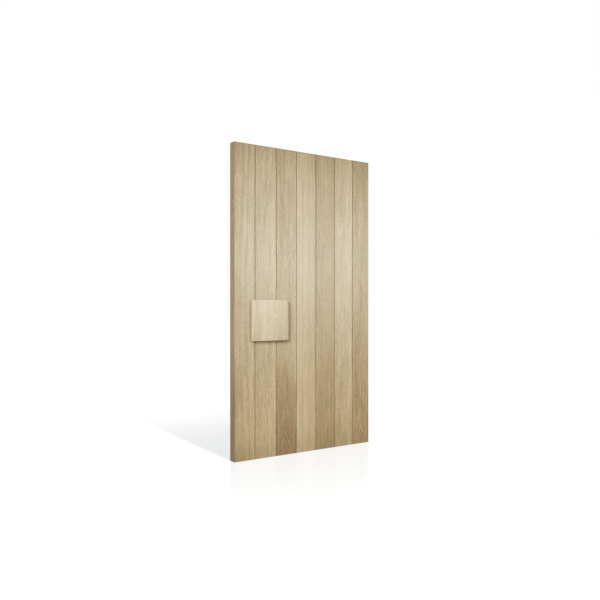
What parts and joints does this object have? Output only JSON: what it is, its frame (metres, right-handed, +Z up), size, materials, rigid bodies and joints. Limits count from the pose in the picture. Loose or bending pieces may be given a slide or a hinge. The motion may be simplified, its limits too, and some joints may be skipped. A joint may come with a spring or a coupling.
{
  "type": "boarded front door",
  "caption": "Oak front door leaf of upright V-jointed boards with a square block pull on each face, hung on ball-bearing butt hinges so that it swings inwards.",
  "frame": {"origin": "middle of the leaf's foot, at half its width and half its thickness", "axes": "+X to the hinge edge, +Y to the inside, +Z up"},
  "size_m": [1.2585, 0.126, 2.3],
  "materials": {
    "oak_board": "oiled oak, brushed smooth, straight grain",
    "oak_frame": "oiled oak edges",
    "oak_pull": "oiled oak block",
    "insulation": "wood-fibre insulation board",
    "stainless": "satin stainless steel",
    "pin_steel": "polished stainless steel",
    "bearing_steel": "hardened steel ring",
    "screw_steel": "stainless wood screw",
    "stud_steel": "zinc-plated threaded rod",
    "brass": "turned brass"
  },
  "bodies": {
    "jamb_hinges": {"jamb_wing_1": "stainless", "jamb_wing_2": "stainless", "jamb_wing_3": "stainless", "jamb_wing_4": "stainless", "hinge_pin_1": "pin_steel", "hinge_pin_2": "pin_steel", "hinge_pin_3": "pin_steel", "hinge_pin_4": "pin_steel", "bearing_rings_1": "bearing_steel", "bearing_rings_2": "bearing_steel", "bearing_rings_3": "bearing_steel", "bearing_rings_4": "bearing_steel"},
    "leaf": {"outer_board_1": "oak_board", "outer_board_2": "oak_board", "outer_board_3": "oak_board", "outer_board_4": "oak_board", "outer_board_5": "oak_board", "outer_board_6": "oak_board", "outer_board_7": "oak_board", "inner_board_1": "oak_board", "inner_board_2": "oak_board", "inner_board_3": "oak_board", "inner_board_4": "oak_board", "inner_board_5": "oak_board", "inner_board_6": "oak_board", "inner_board_7": "oak_board", "lock_stile": "oak_frame", "hinge_stile": "oak_frame", "top_rail": "oak_frame", "middle_rail": "oak_frame", "bottom_rail": "oak_frame", "outer_pull_plate": "oak_pull", "outer_pull_boss": "oak_pull", "inner_pull_plate": "oak_pull", "inner_pull_boss": "oak_pull", "lower_insulation": "insulation", "upper_insulation": "insulation", "leaf_wing_1": "stainless", "leaf_wing_2": "stainless", "leaf_wing_3": "stainless", "leaf_wing_4": "stainless", "leaf_wing_screws": "screw_steel", "pull_screws": "screw_steel", "pull_studs": "stud_steel", "pull_inserts": "brass"}
  },
  "joints": [
    {"name": "leaf_swing", "type": "hinge", "parent": "jamb_hinges", "child": "leaf", "pos_m": [0.6265, 0.0435, 0], "axis": [0, 0, -1], "range_deg": [0, 170]}
  ]
}
